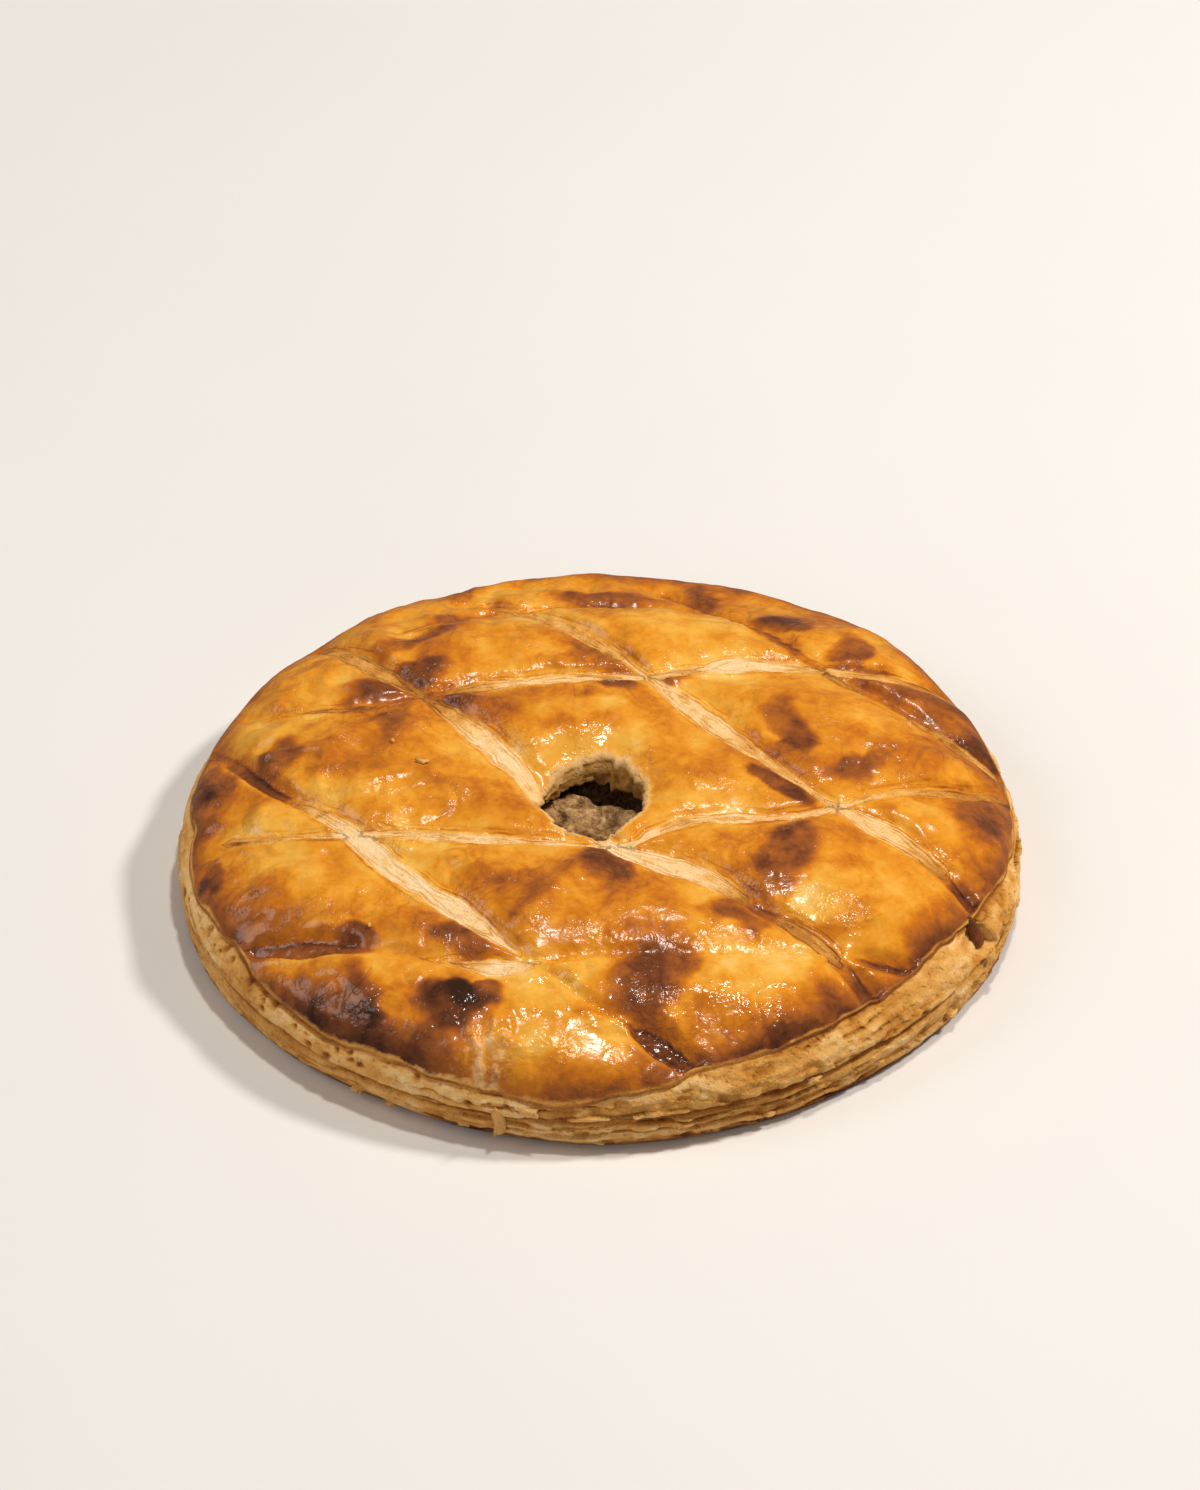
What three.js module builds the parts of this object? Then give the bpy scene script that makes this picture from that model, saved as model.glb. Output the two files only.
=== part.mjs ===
// A tourtiere: a round double-crust meat pie in puff pastry. Its glazed lid is scored in diamonds round a
// steam vent. Millimetres, +Z up. The origin is the middle of the flat underside, and -Y is the front.
// Three pieces, as the pie is made: the base sheet, the meat filling on it, and the lid laid over both.
import * as THREE from "three";

// Driving dimensions
const RIM_RADIUS = 125; // widest point of the flaky edge
const SEAM_HEIGHT = 11.5; // top of the base's edge, where the lid's edge lies on it
const DOME_RADIUS = 121.5; // foot of the dome that the glazed top follows
const DOME_FOOT_HEIGHT = 18.5;
const CROWN_HEIGHT = 37; // smooth dome in the middle, before it puffs up between the scores
const LID_THICKNESS = 7.5;
const FLOOR_THICKNESS = 5; // base sheet under the filling
const CAVITY_RADIUS = 106; // inside of the edge, where the filling ends
const FLOOR_RADIUS = 101;
const GAP = 0.4; // between pieces that touch

// Steam vent, a little in front of the middle
const VENT_CENTRE = new THREE.Vector2(-2, -9.5);
const VENT_HALF_WIDTH = 15;
const VENT_HALF_LENGTH = 16.5;
const VENT_FLARE = 1.5; // the torn wall widens downwards
const VENT_DIP = 3; // the lid sinks towards the vent
const VENT_DIP_REACH = 7;
const STEAM_POCKET_DEPTH = 7; // the filling has shrunk from the lid round the vent
const STEAM_POCKET_REACH = 27;

// Relief of the lid
const SCORE_DEPTH = 2.6;
const SCORE_HALF_WIDTH = 3.6;
const PUFF_HEIGHT = 2.4; // how far the pastry rises between the scores
const PUFF_REACH = 13;
const SCORE_FADE = 8; // the scores run out this far from the lid's edge
const DOME_POWER = 5.5; // a flat crown with a round shoulder
const DOME_ROUNDING = 0.8;
const BACK_SAG = 6.5; // the lid lies lower behind the last score
const SAG_START = 74; // how far back the sag begins and is full
const SAG_END = 108;

// Lower edge of the glaze, which rises and hangs round the pie: degrees anticlockwise from +X, and height
const GLAZED_EDGE = [
  [0, 15.5], [30, 17.5], [60, 18.5], [90, 17.8], [120, 18.6], [150, 17.2],
  [180, 15.5], [195, 19.2], [210, 20.4], [225, 18.6], [242, 18.8], [255, 18.2], [265, 14.6],
  [274, 19], [285, 22.3], [315, 21.6], [330, 20.8], [348, 18.2],
];
const SIDE_LEAN = 0.6; // below the dome's foot the glaze hangs outwards by this much of its drop

// Pastry leaves of the lid's flaky edge, from the top down: how far each reaches from the glazed edge, at 0,
// to the rim, at 1, and its height from the seam, at 0, to the glazed edge, at 1
const LID_LEAVES = [[-0.6, 0.8], [0.5, 0.68], [0.86, 0.48], [0.95, 0.25]];
// Pastry leaves of the base's edge: how far each lies inside the rim, and its height
const BASE_LEAVES = [[0.2, 9.7], [0, 7.3], [1.3, 6.1], [0.4, 4.6], [1.2, 1.6]];
const SEAM_INSET = 2;
const FOOT_INSET = 3.2;

// Unevenness of hand-folded pastry: how many waves are added up, and how often they swing in one turn
const SEED = 20;
const OUTLINE_STRETCH = 0.011; // share of the radius: the pie is a little longer one way
const STRETCH_ANGLE = THREE.MathUtils.degToRad(50);
const BULGE = 0.023; // share of the radius: the edge has spread out at one place
const BULGE_ANGLE = THREE.MathUtils.degToRad(-21);
const BULGE_WIDTH = THREE.MathUtils.degToRad(18);
const OUTLINE_WAVES = { count: 4, slowest: 3, fastest: 9 };
const OUTLINE_SWAY = 0.0025; // share of the radius
const VENT_WAVES = { count: 5, slowest: 3, fastest: 12 };
const VENT_RAGGEDNESS = 0.07; // share of the vent's radius
const VENT_RAGGED_FADE = 4; // the rings smooth out quickly away from the vent
const LEAF_WAVES = { count: 6, slowest: 9, fastest: 40 };
const LEAF_CROOK = 0.6; // in and out
const LEAF_LIFT = 0.25; // up and down
const MEAT_LUMP = 0.8;
const MEAT_LUMP_LENGTH = 22;

// Mesh spacing
const TOP_STEP = 4.1;
const SIDE_STEP = 4.6;
const HIDDEN_STEP = 8;
const MEAT_STEP = 5;
const SLIDE_SHARE = 0.42; // a point this near a score, in top steps, slides onto it

// Score lines of the lid: four that run down to the right, and four that cross them
const SCORES = [
  [[-116, 33], [-97, 0], [-71, -25], [-45, -55], [-25, -76], [3, -101], [28, -114]],
  [[-79, 70], [-50, 37], [-20, 0], [20, -39], [48, -60], [78, -84]],
  [[-23, 88], [6, 60], [28, 34], [70, -12], [110, -44]],
  [[38, 89], [72, 50], [118, 21]],
  [[-100, -63], [-62, -77], [-28, -82], [2, -79], [60, -76], [98, -67]],
  [[-114, -22], [-85, -26], [-30, -28], [8, -31], [30, -19], [60, -17], [85, -5], [121, 11]],
  [[-94, 35], [-70, 34], [-35, 42], [15, 49], [52, 56], [72, 52], [98, 56]],
  [[-50, 80], [-20, 92], [38, 89]],
];
const SCORE_SAMPLES = 90;

const scorePoints = SCORES.flatMap((points) => {
  const knots = points.map(([x, y]) => new THREE.Vector2(x, y));
  return new THREE.SplineCurve(knots).getSpacedPoints(SCORE_SAMPLES);
});

// Random numbers from 0 to 1, the same each time: multiply, and keep the remainder.
let randomState = SEED;
function random() {
  const multiplier = 48271;
  const modulus = 2147483647;
  randomState = (randomState * multiplier) % modulus;
  return randomState / modulus;
}

// A wavy function of the angle round the pie, from about -1 to 1: waves with random pitch and phase.
function wavyEdge({ count, slowest, fastest }) {
  const waves = Array.from({ length: count }, () => ({
    pitch: Math.round(slowest + random() * (fastest - slowest)),
    phase: random() * 2 * Math.PI,
  }));
  const scale = 1 / Math.sqrt(count);
  const height = (wave, angle) => Math.sin(wave.pitch * angle + wave.phase);
  return (angle) => scale * waves.reduce((sum, wave) => sum + height(wave, angle), 0);
}

const outline = wavyEdge(OUTLINE_WAVES);
const ventEdge = wavyEdge(VENT_WAVES);

// Radius of the outline at an angle, as a share of the plain circle's.
function outlineShare(angle) {
  const stretch = OUTLINE_STRETCH * Math.cos(2 * (angle - STRETCH_ANGLE));
  const turn = THREE.MathUtils.euclideanModulo(angle - BULGE_ANGLE + Math.PI, 2 * Math.PI) - Math.PI;
  const bulge = BULGE * Math.exp(-((turn / BULGE_WIDTH) ** 2));
  return 1 + stretch + bulge + OUTLINE_SWAY * outline(angle);
}

// Height share of the dome at a share of its radius: 1 in the middle, 0 at the edge.
function domeShare(share) {
  return (1 - Math.min(1, share) ** DOME_POWER) ** DOME_ROUNDING;
}

// Height of the glaze's lower edge at an angle, eased from each given height to the next.
function edgeHeight(angle) {
  const degrees = THREE.MathUtils.euclideanModulo(THREE.MathUtils.radToDeg(angle), 360);
  const last = GLAZED_EDGE.findLastIndex(([start]) => start <= degrees);
  const [start, from] = GLAZED_EDGE[last];
  const [end, to] = GLAZED_EDGE[last + 1] ?? [360, GLAZED_EDGE[0][1]];
  return THREE.MathUtils.lerp(from, to, THREE.MathUtils.smoothstep(degrees, start, end));
}

// Radius of the dome, or of the glaze that hangs below its foot, at the glaze's lower edge.
function edgeRadius(angle) {
  const rise = edgeHeight(angle) - DOME_FOOT_HEIGHT;
  const share = Math.max(0, rise) / (CROWN_HEIGHT - DOME_FOOT_HEIGHT);
  const onDome = DOME_RADIUS * (1 - share ** (1 / DOME_ROUNDING)) ** (1 / DOME_POWER);
  return (onDome + SIDE_LEAN * Math.max(0, -rise)) * outlineShare(angle);
}

// How far outside the oval vent a point lies, in millimetres, and less than 0 inside it.
function distanceFromVent(x, y) {
  const across = (x - VENT_CENTRE.x) / VENT_HALF_WIDTH;
  const along = (y - VENT_CENTRE.y) / VENT_HALF_LENGTH;
  return (Math.hypot(across, along) - 1) * VENT_HALF_WIDTH;
}

function nearestScore(x, y) {
  let nearest = scorePoints[0];
  let best = Infinity;
  for (const point of scorePoints) {
    const distance = Math.hypot(point.x - x, point.y - y);
    if (distance < best) {
      best = distance;
      nearest = point;
    }
  }
  return { point: nearest, distance: best };
}

// Top of the lid: the dome, puffed up between the scores and sunk at the vent.
function lidHeight(x, y) {
  const angle = Math.atan2(y, x);
  const radius = Math.hypot(x, y);
  const foot = DOME_RADIUS * outlineShare(angle);
  const drop = Math.max(0, radius - foot) / SIDE_LEAN;
  const rise = CROWN_HEIGHT - DOME_FOOT_HEIGHT - BACK_SAG * THREE.MathUtils.smoothstep(y, SAG_START, SAG_END);
  const dome = DOME_FOOT_HEIGHT + rise * domeShare(radius / foot) - drop;
  const { distance } = nearestScore(x, y);
  const puff = PUFF_HEIGHT * (1 - Math.exp(-((distance / PUFF_REACH) ** 2)));
  const score = SCORE_DEPTH * Math.exp(-((distance / SCORE_HALF_WIDTH) ** 2));
  const fade = THREE.MathUtils.smoothstep(edgeRadius(angle) - radius, 0, SCORE_FADE);
  const fromVent = Math.max(0, distanceFromVent(x, y));
  const dip = VENT_DIP * Math.exp(-((fromVent / VENT_DIP_REACH) ** 2));
  return dome + fade * (puff - score) - dip;
}

// Underside of the lid, a plain dome over the filling.
function undersideHeight(radius) {
  const seam = SEAM_HEIGHT + GAP;
  const crown = CROWN_HEIGHT - LID_THICKNESS;
  return seam + (crown - seam) * domeShare(radius / CAVITY_RADIUS);
}

function pointAt(angle, radius, height) {
  return new THREE.Vector3(radius * Math.cos(angle), radius * Math.sin(angle), height);
}

// A closed ring of points about one step apart. place gives the point at an angle.
function ring(radius, step, place) {
  const count = Math.round((2 * Math.PI * radius) / step);
  return Array.from({ length: count }, (_, i) => place((2 * Math.PI * i) / count));
}

// The crooked edge of one pastry leaf. radiusAt and heightAt give its place at an angle.
function leafRing(radiusAt, heightAt) {
  const crook = wavyEdge(LEAF_WAVES);
  const lift = wavyEdge(LEAF_WAVES);
  return ring(RIM_RADIUS, SIDE_STEP, (angle) => {
    const radius = radiusAt(angle) + LEAF_CROOK * crook(angle);
    return pointAt(angle, radius, heightAt(angle) + LEAF_LIFT * lift(angle));
  });
}

function lidLeaf([reach, rise]) {
  return leafRing(
    (angle) => THREE.MathUtils.lerp(edgeRadius(angle), RIM_RADIUS * outlineShare(angle), reach),
    (angle) => THREE.MathUtils.lerp(SEAM_HEIGHT, edgeHeight(angle), rise),
  );
}

function baseLeaf([inset, height]) {
  return leafRing(
    (angle) => (RIM_RADIUS - inset) * outlineShare(angle),
    () => height,
  );
}

// A smooth level ring round the pie's axis.
function plainRing(radius, height, step) {
  return ring(radius, step, (angle) => pointAt(angle, radius, height));
}

// A ring between the oval vent, at share 0, and an outer edge, at share 1. flare widens the vent, outerRadius
// gives the edge's radius at an angle, and place gives the point above x, y.
function ringFromVent(share, flare, outerRadius, step, place) {
  const centre = VENT_CENTRE.clone().multiplyScalar(1 - share);
  return ring(THREE.MathUtils.lerp(VENT_HALF_WIDTH + flare, RIM_RADIUS, share), step, (angle) => {
    const ragged = 1 + VENT_RAGGEDNESS * ventEdge(angle) * (1 - share) ** VENT_RAGGED_FADE;
    const halfWidth = THREE.MathUtils.lerp((VENT_HALF_WIDTH + flare) * ragged, outerRadius(angle), share);
    const halfLength = THREE.MathUtils.lerp((VENT_HALF_LENGTH + flare) * ragged, outerRadius(angle), share);
    const x = centre.x + halfWidth * Math.cos(angle);
    const y = centre.y + halfLength * Math.sin(angle);
    return place(x, y);
  });
}

// A point on the lid's top. Near a score line it slides onto the line, so that the cut has a clean bottom.
function lidPoint(x, y) {
  const { point, distance } = nearestScore(x, y);
  const fromEdge = edgeRadius(Math.atan2(y, x)) - Math.hypot(x, y);
  const inner = fromEdge > SCORE_FADE && distanceFromVent(x, y) > TOP_STEP;
  const slides = inner && distance < SLIDE_SHARE * TOP_STEP;
  const place = slides ? point : { x, y };
  return new THREE.Vector3(place.x, place.y, lidHeight(place.x, place.y));
}

// Triangles between two rings of any two counts. A ring of one point is the tip of a fan.
function stitch(triangles, first, second) {
  const firstSteps = first.length > 1 ? first.length : 0;
  const secondSteps = second.length > 1 ? second.length : 0;
  let i = 0;
  let j = 0;
  while (i < firstSteps || j < secondSteps) {
    const a = first[i % first.length];
    const b = second[j % second.length];
    const secondIsBehind = (j + 1) * firstSteps <= (i + 1) * secondSteps;
    if (j < secondSteps && (i >= firstSteps || secondIsBehind)) {
      triangles.push(a, b, second[(j + 1) % second.length]);
      j += 1;
    } else {
      triangles.push(a, b, first[(i + 1) % first.length]);
      i += 1;
    }
  }
}

// A solid through rings in order, outwards over its top, down and back underneath.
function solidThrough(rings, joinsItself) {
  const triangles = [];
  for (let k = 1; k < rings.length; k += 1) stitch(triangles, rings[k - 1], rings[k]);
  if (joinsItself) stitch(triangles, rings[rings.length - 1], rings[0]);
  return new THREE.BufferGeometry().setFromPoints(triangles);
}

// Shares from 0 to 1 in even steps that are no longer than the given one.
function evenShares(length, step) {
  const count = Math.ceil(length / step);
  return Array.from({ length: count + 1 }, (_, i) => i / count);
}

// Lid: glazed top, overhanging edge, flaky leaves down to the seam, underside, and the vent's torn wall.
function lidGeometry() {
  const topShares = evenShares(DOME_RADIUS - VENT_HALF_WIDTH, TOP_STEP);
  const top = topShares.map((share) => ringFromVent(share, 0, edgeRadius, TOP_STEP, lidPoint));
  const leaves = LID_LEAVES.map(lidLeaf);
  const seam = SEAM_HEIGHT + GAP;
  const foot = [
    plainRing(RIM_RADIUS - SEAM_INSET, seam, SIDE_STEP),
    plainRing(CAVITY_RADIUS, seam, HIDDEN_STEP),
  ];
  const underPoint = (x, y) => new THREE.Vector3(x, y, undersideHeight(Math.hypot(x, y)));
  const underShares = evenShares(CAVITY_RADIUS - VENT_HALF_WIDTH, HIDDEN_STEP).reverse().slice(1);
  const under = underShares.map((share) =>
    ringFromVent(share, VENT_FLARE, () => CAVITY_RADIUS, HIDDEN_STEP, underPoint),
  );
  return solidThrough([...top, ...leaves, ...foot, ...under], true);
}

// Base: a sheet with a raised flaky edge round the filling, flat underneath.
function baseGeometry() {
  return solidThrough([
    [new THREE.Vector3(0, 0, FLOOR_THICKNESS)],
    plainRing(FLOOR_RADIUS, FLOOR_THICKNESS, HIDDEN_STEP),
    plainRing(CAVITY_RADIUS, SEAM_HEIGHT, HIDDEN_STEP),
    plainRing(RIM_RADIUS - SEAM_INSET, SEAM_HEIGHT, SIDE_STEP),
    ...BASE_LEAVES.map(baseLeaf),
    plainRing(RIM_RADIUS - FOOT_INSET, 0, SIDE_STEP),
    [new THREE.Vector3(0, 0, 0)],
  ]);
}

// Top of the meat: just under the lid, and sunk and lumpy in the steam pocket below the vent.
function meatHeight(x, y) {
  const fromMiddle = Math.hypot(x - VENT_CENTRE.x, y - VENT_CENTRE.y);
  const pocket = Math.exp(-((fromMiddle / STEAM_POCKET_REACH) ** 4));
  const turn = (2 * Math.PI) / MEAT_LUMP_LENGTH;
  const lumps = Math.sin(x * turn + 1) * Math.cos(y * turn);
  return undersideHeight(Math.hypot(x, y)) - GAP - pocket * (STEAM_POCKET_DEPTH + MEAT_LUMP * lumps);
}

// Filling: the meat from the floor to the lid, closely ringed where the vent shows it.
function fillingGeometry() {
  const side = CAVITY_RADIUS - 2 * GAP;
  const sideAt = () => side;
  const foot = FLOOR_THICKNESS + GAP;
  const meatPoint = (x, y) => new THREE.Vector3(x, y, meatHeight(x, y));
  const seen = evenShares(VENT_HALF_WIDTH, MEAT_STEP).slice(1, -1).map((share) => {
    return ringFromVent(0, (share - 1) * VENT_HALF_WIDTH, sideAt, MEAT_STEP, meatPoint);
  });
  const hidden = evenShares(side - VENT_HALF_WIDTH, HIDDEN_STEP).slice(0, -1).map((share) => {
    return ringFromVent(share, 0, sideAt, HIDDEN_STEP, meatPoint);
  });
  return solidThrough([
    [meatPoint(VENT_CENTRE.x, VENT_CENTRE.y)],
    ...seen,
    ...hidden,
    plainRing(side, SEAM_HEIGHT, HIDDEN_STEP),
    plainRing(FLOOR_RADIUS - 2 * GAP, foot, HIDDEN_STEP),
    [new THREE.Vector3(0, 0, foot)],
  ]);
}

function piece(name, geometry, colour, roughness) {
  const material = new THREE.MeshStandardMaterial({ color: colour, roughness, metalness: 0 });
  const mesh = new THREE.Mesh(geometry, material);
  mesh.name = name;
  return mesh;
}

const tourtiere = new THREE.Group();
tourtiere.add(
  piece("base_crust", baseGeometry(), 0xc79a55, 0.8),
  piece("filling", fillingGeometry(), 0x8a6d45, 0.6),
  piece("lid_crust", lidGeometry(), 0xd98a1e, 0.25),
);

export default tourtiere;
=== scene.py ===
"""The looks of a tourtiere: a glazed, scored and browned lid over a pale flaky edge and a meat filling.

Shapes are worked out in millimetres, in the pie's own frame, and become metres when a mesh is made.
"""
import math
from types import SimpleNamespace

import bpy
import numpy as np
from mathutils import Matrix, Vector


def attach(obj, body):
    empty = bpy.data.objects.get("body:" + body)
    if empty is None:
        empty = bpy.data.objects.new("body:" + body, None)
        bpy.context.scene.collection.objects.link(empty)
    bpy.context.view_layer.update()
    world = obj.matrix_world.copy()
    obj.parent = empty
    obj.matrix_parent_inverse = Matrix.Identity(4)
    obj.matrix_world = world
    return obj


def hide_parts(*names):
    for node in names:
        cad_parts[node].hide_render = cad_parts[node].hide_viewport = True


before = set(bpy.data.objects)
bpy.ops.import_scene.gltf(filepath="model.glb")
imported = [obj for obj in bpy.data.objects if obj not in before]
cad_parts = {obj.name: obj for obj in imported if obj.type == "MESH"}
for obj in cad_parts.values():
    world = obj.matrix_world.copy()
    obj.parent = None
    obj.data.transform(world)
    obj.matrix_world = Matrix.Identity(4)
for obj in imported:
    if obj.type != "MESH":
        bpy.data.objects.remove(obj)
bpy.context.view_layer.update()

MM = 0.001
BODY = "root"

# Sizes of the pie, as in its solids
RIM_RADIUS = 125.0
SEAM_RADIUS = RIM_RADIUS - 5.0
SEAM_HEIGHT = 11.5
DOME_RADIUS = 121.5
DOME_FOOT_HEIGHT = 18.5
CROWN_HEIGHT = 37.0
LID_THICKNESS = 7.5
FLOOR_THICKNESS = 5.0
CAVITY_RADIUS = 106.0
FLOOR_RADIUS = 101.0
GAP = 0.4
DOME_POWER = 5.5
DOME_ROUNDING = 0.8
BACK_SAG = 7.8
SAG_RANGE = (74.0, 108.0)
OUTLINE_STRETCH = 0.011
STRETCH_ANGLE = math.radians(50)
BULGE = 0.023
BULGE_ANGLE = math.radians(-21)
BULGE_WIDTH = math.radians(18)
SIDE_LEAN = 0.6
FOOT_INSET = 3.2

# Dents of the lid: x, y, reach, depth
DENTS = ((-44, 104, 11, 1.6), (13, 109, 7, 1.3), (53, 97, 19, 2.2), (0, 108, 42, 1.5))

# Steam vent
VENT_X = -2.0
VENT_Y = -9.5
VENT_HALF_WIDTH = 15.0
VENT_HALF_LENGTH = 16.5
VENT_FLARE = 1.5
VENT_LEAN = 4.0  # how far the torn wall behind the vent leans into it
VENT_DIP = (1.0, 4.6)  # in front of the vent and behind it
VENT_DIP_REACH = (3.5, 6.5)
# Outline of the vent: degrees anticlockwise from +X, and share of the plain oval
VENT_SHAPE = [
    (0, 1.05), (40, 1.10), (75, 1.22), (105, 1.18), (135, 1.06), (165, 1.0), (190, .95), (210, .92),
    (240, 1.06), (268, 1.0), (296, 1.04), (322, .97), (340, 1.04),
]
POCKET_DEPTH = 7.0
POCKET_REACH = 27.0
SEEN_MEAT = 36.0  # how far from the vent's middle the meat can be seen

# Lower edge of the glaze: degrees anticlockwise from +X, and height
GLAZED_EDGE = [
    (0, 16), (30, 17.5), (60, 18.5), (90, 17.8), (120, 18.6), (150, 17.2), (172, 16.5), (182, 20.6),
    (192, 17.6), (202, 19.8), (210, 20.4), (225, 18.6), (242, 18.8), (255, 18.2), (265, 15.4),
    (274, 19), (285, 22.3), (312, 22.6), (328, 23.8), (340, 22.8), (350, 19.5),
]

# Score lines: x, y, half width of the opened cut, and how brown its floor is, from 0 for cream to 1
SCORES = [
    [(-116, 33, 1, .7), (-108, 18, 1.9, .75), (-101, 6, 1.5, .9), (-95, -2, 1.4, .95),
     (-88, -9, 1.2, .5), (-78, -18, 2.4, .1), (-71, -25, 3, .05), (-58, -42, 3.4, 0), (-45, -55, 3, 0),
     (-28, -73, 1.3, .1), (-19, -82, .4, .4), (-6, -94, .3, .5), (7, -103, .3, .7),
     (12, -105.5, 1.6, .95), (18, -109, 2.6, 1), (25, -113, 1.8, 1), (29, -115, .6, 1)],
    [(-86, 78, 1.4, .6), (-79, 70, 2, .5), (-65, 53, 2.4, .45), (-50, 38, 1.8, .6), (-35, 21, 4, .1),
     (-20, 0, 3, 0), (3, -30, 1.8, 0), (20, -39, 4, .1), (35, -48, 3, .16), (46, -58, 1.6, .8),
     (55, -64, 2, .56), (66, -73, 1.9, .54), (73, -80, 1.8, .8), (79, -86, 2.2, 1), (83, -90, .8, 1)],
    [(-34, 98, 1.6, .6), (-23, 88, 2.2, .35), (-8, 74, 2.5, .3), (6, 60, 1.4, .3), (14, 50, 1.4, .15),
     (30, 32, 3.9, .13), (40, 20, 2.7, .2), (50, 9, 1.5, .3), (60, -2, 1.2, .3), (70, -12, 1.4, .15),
     (86, -23, 3.2, .13), (98, -33, 2, .4), (105, -40, 1.6, .95), (110, -45, 1.3, .9)],
    [(20, 108, 1.2, .7), (38, 89, 1.2, .7), (55, 71, 1.5, .8), (72, 51, 1.4, .6), (88, 40, 1.1, .7),
     (104, 28, 2, .4), (118, 21, 1.5, .4)],
    [(-102, -62.5, .3, .9), (-94, -65, 1.8, .9), (-84, -68, 2.7, .85), (-74, -70.5, 1.9, .85),
     (-67, -73, .5, .7), (-52, -78, .5, .5), (-40, -81, .9, .3), (-29, -83.5, 2.6, .05),
     (-17, -82, .8, .3), (-8, -80, .6, .6), (4, -79, .4, .6), (30, -78, .2, .4), (48, -77, .5, .2),
     (66, -75, .3, .4), (80, -74, 1, .9), (91, -73, 1.2, .9), (100, -71, 1, .9)],
    [(-112, -18, .5, .5), (-100, -22, 1.2, .4), (-85, -24, 1.2, .15), (-60, -25, 1.8, .2),
     (-42, -27, 2.2, .1), (-14, -30, 1.3, .05), (8, -31, 1.1, .05), (17, -25, 1.4, .1),
     (30, -19, 1.7, .15), (60, -17, 1.3, .1), (85, -5, 1.3, .25), (108, 2, 1.6, .5), (121, 11, 1, .5)],
    [(-104, 40, .4, .5), (-94, 37, .6, .5), (-70, 36, 1, .6), (-50, 41, 1.5, .75), (-25, 46, 1.8, .15),
     (5, 49, 1.4, .2), (15, 49, 1.4, .15), (38, 55, 2.6, .05), (52, 56, 2.6, .1), (65, 55, 1.7, .3),
     (85, 55, 2.2, .4), (104, 58, 1.6, .55)],
    [(-60, 76, .9, .6), (-48, 81, .9, .6), (-30, 89, 1.4, .7), (-12, 94, 1.4, .6), (12, 94, 1, .6),
     (38, 89, 1, .7)],
]
SPLINE_STEPS = 7
LONGEST_SCORE = 300.0

PATCH_BEND = 2.7
PATCH_OVERLAP = 0.25  # share of the weaker patch that is added to a stronger one
# Browned patches of the glaze: x, y, half length, half width, turn in degrees, and how dark
BROWN_PATCHES = [
    (15, -84, 16, 13, 90, .34), (15, -84, 10, 9, 90, .3), (10, -96, 8, 7, 0, .3),
    (14, -101, 10, 5, -35, .3), (-43, -97, 9, 9, 0, .52), (-34, -95, 7, 6, 20, .4),
    (-69, -88, 12, 5, -65, .36), (-71, -70, 9, 5, -18, .36), (-85, -66, 13, 4, -20, .14),
    (56, -5, 13, 5, -43, .42), (57, -34, 11, 8, 75, .36), (53, -42, 10, 8, 95, .34),
    (42, -61, 11, 6, -30, .32), (34, -62, 6, 5, -60, .2), (3, 45, 12, 4, 0, .4),
    (24, 48, 6, 2.4, 0, .34), (57, 24, 15, 6, 100, .32), (76, 4, 9, 5, 10, .24),
    (113, -10, 14, 8, 80, .26), (90, 50, 24, 6, -22, .27), (76, 67, 8, 7, 0, .34),
    (58, 82, 9, 6, 0, .36), (1, 101, 17, 6, -6, .36), (30, 101, 9, 5, 80, .32),
    (-58, 67, 16, 4.5, 32, .32), (-61, 47, 21, 5, 24, .34), (-40, 38, 9, 6, 0, .22),
    (-38, 85, 13, 5, -8, .24), (-95, 14, 10, 7, 70, .34), (-113, 8, 13, 8, 80, .24),
    (-106, -5, 11, 8, 20, .24), (-113, -34, 9, 4, 110, .36), (3, -44, 12, 6, 115, .23),
    (-15, -54, 16, 4, 50, .16), (-36, -73, 11, 5, -15, .22), (-62, 23, 7, 5, 60, .18),
    (57, -103, 17, 6, 15, .13), (36, -112, 14, 5, 15, .14), (68, -85, 9, 6, 100, .24),
    (101, -61, 13, 8, 55, .18), (104, -46, 9, 6, 60, .24), (-3, 62, 19, 6, -45, .2),
    (-8, 56, 11, 4, 0, .2), (-100, -52, 22, 12, -60, .16), (-82, -92, 24, 10, -42, .18),
    (-56, -106, 18, 7, -22, .14), (28, -22, 11, 6, -60, .1), (-70, 8, 18, 12, 0, .1),
    (-47, 0, 16, 9, 20, .09), (40, 63, 20, 8, -10, .06), (44, 16, 17, 8, -45, .12),
    (-30, -48, 14, 9, 30, .08), (30, 4, 10, 8, 0, .06), (34, -101, 15, 7, 15, .2),
    (112, 22, 14, 8, 100, .2), (-95, 45, 22, 9, 55, .04), (100, 36, 18, 7, -30, .17),
    (-48, 58, 12, 8, 30, .14),
]
# Patches where the glaze is glossy, in the same terms
GLOSSY_PATCHES = [
    (46, -90, 24, 12, 8, 1), (8, -102, 20, 9, -20, 1), (-14, -94, 18, 10, 20, 1),
    (-45, -98, 14, 9, 0, .8), (-66, -86, 14, 8, -60, .9), (-85, -66, 18, 6, -15, .8),
    (-12, -46, 20, 8, 50, .7), (-6, 14, 14, 7, 20, 1), (54, -2, 16, 7, -40, .6),
    (50, -42, 12, 7, 80, .7), (80, -74, 16, 7, -20, .7), (92, -28, 12, 7, -40, .5),
    (12, 56, 14, 6, 0, .8), (0, 44, 14, 6, 0, .6), (-70, 28, 10, 6, 0, .4),
]
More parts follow.
